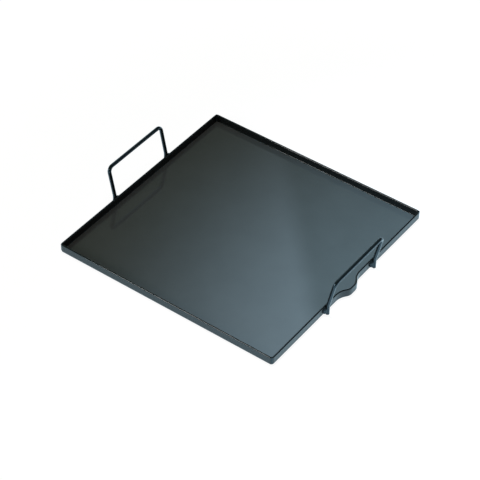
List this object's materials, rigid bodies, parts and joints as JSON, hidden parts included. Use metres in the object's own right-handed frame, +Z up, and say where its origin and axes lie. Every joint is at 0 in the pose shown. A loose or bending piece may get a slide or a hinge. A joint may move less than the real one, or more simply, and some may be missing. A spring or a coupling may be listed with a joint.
{
  "type": "griddle plate",
  "caption": "Shallow square steel griddle tray with a folded rim, a pour lip in its front wall, and upright bent-bar carry handles welded outside the front and rear walls.",
  "frame": {"origin": "centre of the plate on the face that it rests on", "axes": "+X towards the front wall with the pour lip, over both handles; +Y to the right along the front wall; +Z up"},
  "size_m": [0.3852, 0.356, 0.0629],
  "materials": {
    "plate_enamel": "gloss black enamel",
    "handle_enamel": "gloss black enamel",
    "weld_enamel": "enamel over a rough weld"
  },
  "bodies": {
    "root": {"griddle_plate": "plate_enamel", "front_handle": "handle_enamel", "rear_handle": "handle_enamel", "front_left_corner_weld": "weld_enamel", "front_right_corner_weld": "weld_enamel", "rear_left_corner_weld": "weld_enamel", "rear_right_corner_weld": "weld_enamel", "front_left_leg_outer_weld": "weld_enamel", "front_left_leg_inner_weld": "weld_enamel", "front_right_leg_outer_weld": "weld_enamel", "front_right_leg_inner_weld": "weld_enamel", "rear_left_leg_outer_weld": "weld_enamel", "rear_left_leg_inner_weld": "weld_enamel", "rear_right_leg_outer_weld": "weld_enamel", "rear_right_leg_inner_weld": "weld_enamel"}
  },
  "joints": []
}
